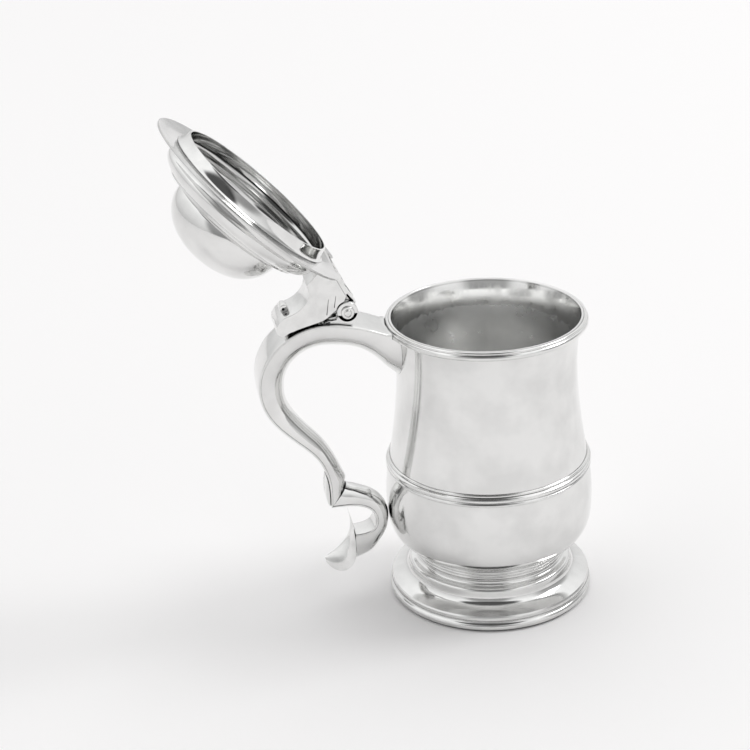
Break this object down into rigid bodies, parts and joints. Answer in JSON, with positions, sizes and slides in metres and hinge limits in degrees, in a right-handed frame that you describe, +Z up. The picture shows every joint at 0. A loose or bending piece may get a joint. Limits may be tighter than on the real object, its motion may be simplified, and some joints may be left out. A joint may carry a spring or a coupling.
{
  "type": "lidded silver tankard",
  "caption": "Polished silver tankard with a baluster body, raised foot, hinged stepped lid and thumbpiece, double-scroll handle",
  "frame": {"origin": "centre of the foot's resting face, on the body's axis", "axes": "+Z up; the handle is towards -X; the hinge pin lies along Y"},
  "size_m": [0.2047, 0.112, 0.2612],
  "materials": {
    "silver_raised": "raised sheet silver, polished bright, with the faint waviness that hammering leaves",
    "silver_moulding": "drawn and turned silver mouldings, polished bright",
    "silver_cast": "cast silver, filed and polished bright",
    "silver_wire": "hard-drawn silver wire, slightly dulled by wear"
  },
  "bodies": {
    "tankard": {"body_shell": "silver_raised", "lip_moulding": "silver_moulding", "girdle_moulding": "silver_moulding", "foot_collar": "silver_moulding", "foot_dome": "silver_raised", "foot_edge_moulding": "silver_moulding", "handle_upper_belly": "silver_raised", "handle_upper_strap": "silver_raised", "handle_lower_belly": "silver_raised", "handle_lower_strap": "silver_raised", "handle_spur": "silver_cast", "handle_shield": "silver_cast", "handle_hinge_plate": "silver_cast", "hinge_pin": "silver_wire", "pin_cap_near": "silver_cast", "pin_cap_far": "silver_cast"},
    "lid": {"lid_cover": "silver_raised", "lid_bezel": "silver_moulding", "lid_hinge_leaf": "silver_cast", "thumbpiece": "silver_cast"}
  },
  "joints": [
    {"name": "lid_hinge", "type": "hinge", "parent": "tankard", "child": "lid", "pos_m": [-0.0702, 0, 0.164], "axis": [0, 1, 0], "range_deg": [0, 135.5]}
  ]
}
